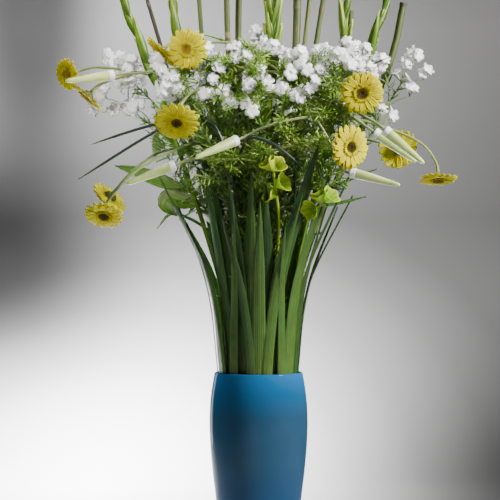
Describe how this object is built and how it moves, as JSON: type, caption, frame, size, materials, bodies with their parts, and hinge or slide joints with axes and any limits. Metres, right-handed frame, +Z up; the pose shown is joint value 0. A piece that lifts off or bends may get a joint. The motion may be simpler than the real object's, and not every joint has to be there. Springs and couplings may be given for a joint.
{
  "type": "flower arrangement in a vase",
  "caption": "Tall arrangement of canes, budding gladiolus with sword leaves, yellow mini gerberas in water tubes and white phlox, standing in a blue glass vase.",
  "frame": {"origin": "middle of the vase's flat underside", "axes": "+Z up along the vase; the arrangement's front, as pictured, faces -Y; +X to the right seen from there"},
  "size_m": [0.6984, 0.3068, 1.1303],
  "materials": {
    "vase_glass": "blue cased glass, opaque blue under a clear gloss layer",
    "water": "clear still water",
    "cane": "olive green bark, satin, with dark joints",
    "gladiolus_green": "ribbed sword leaf, satin",
    "petal_yellow": "lemon yellow petals round an ochre eye, matt",
    "gerbera_green": "pale green stem with fine down, matt",
    "tube_plastic": "translucent greenish white plastic, satin",
    "phlox_white": "white petals, matt",
    "phlox_green": "fresh green leaf, matt",
    "bell_lime": "lime green veined cup, matt",
    "grass_dark": "black green blade, satin"
  },
  "bodies": {
    "root": {"vase": "vase_glass", "water": "water", "bells_of_ireland": "bell_lime", "steel_grass": "grass_dark", "cane_1": "cane", "cane_2": "cane", "cane_3": "cane", "cane_4": "cane", "cane_5": "cane", "cane_6": "cane", "cane_7": "cane", "cane_8": "cane", "cane_9": "cane", "gladiolus_1": "gladiolus_green", "gladiolus_2": "gladiolus_green", "gladiolus_3": "gladiolus_green", "gladiolus_4": "gladiolus_green", "gladiolus_5": "gladiolus_green", "gerbera_bloom_1": "petal_yellow", "gerbera_bloom_2": "petal_yellow", "gerbera_bloom_3": "petal_yellow", "gerbera_bloom_4": "petal_yellow", "gerbera_bloom_5": "petal_yellow", "gerbera_bloom_6": "petal_yellow", "gerbera_bloom_7": "petal_yellow", "gerbera_bloom_8": "petal_yellow", "gerbera_bloom_9": "petal_yellow", "gerbera_bloom_10": "petal_yellow", "gerbera_bloom_11": "petal_yellow", "water_tube_1": "tube_plastic", "water_tube_2": "tube_plastic", "water_tube_3": "tube_plastic", "water_tube_4": "tube_plastic", "water_tube_5": "tube_plastic", "water_tube_6": "tube_plastic", "water_tube_7": "tube_plastic", "water_tube_8": "tube_plastic", "water_tube_9": "tube_plastic", "water_tube_10": "tube_plastic", "water_tube_11": "tube_plastic", "gerbera_stem_1": "gerbera_green", "gerbera_stem_2": "gerbera_green", "gerbera_stem_3": "gerbera_green", "gerbera_stem_4": "gerbera_green", "gerbera_stem_5": "gerbera_green", "gerbera_stem_6": "gerbera_green", "gerbera_stem_7": "gerbera_green", "gerbera_stem_8": "gerbera_green", "gerbera_stem_9": "gerbera_green", "gerbera_stem_10": "gerbera_green", "gerbera_stem_11": "gerbera_green", "phlox_head_1": "phlox_white", "phlox_head_2": "phlox_white", "phlox_head_3": "phlox_white", "phlox_head_4": "phlox_white", "phlox_head_5": "phlox_white", "phlox_head_6": "phlox_white", "phlox_stem_1": "phlox_green", "phlox_stem_2": "phlox_green", "phlox_stem_3": "phlox_green"}
  },
  "joints": []
}
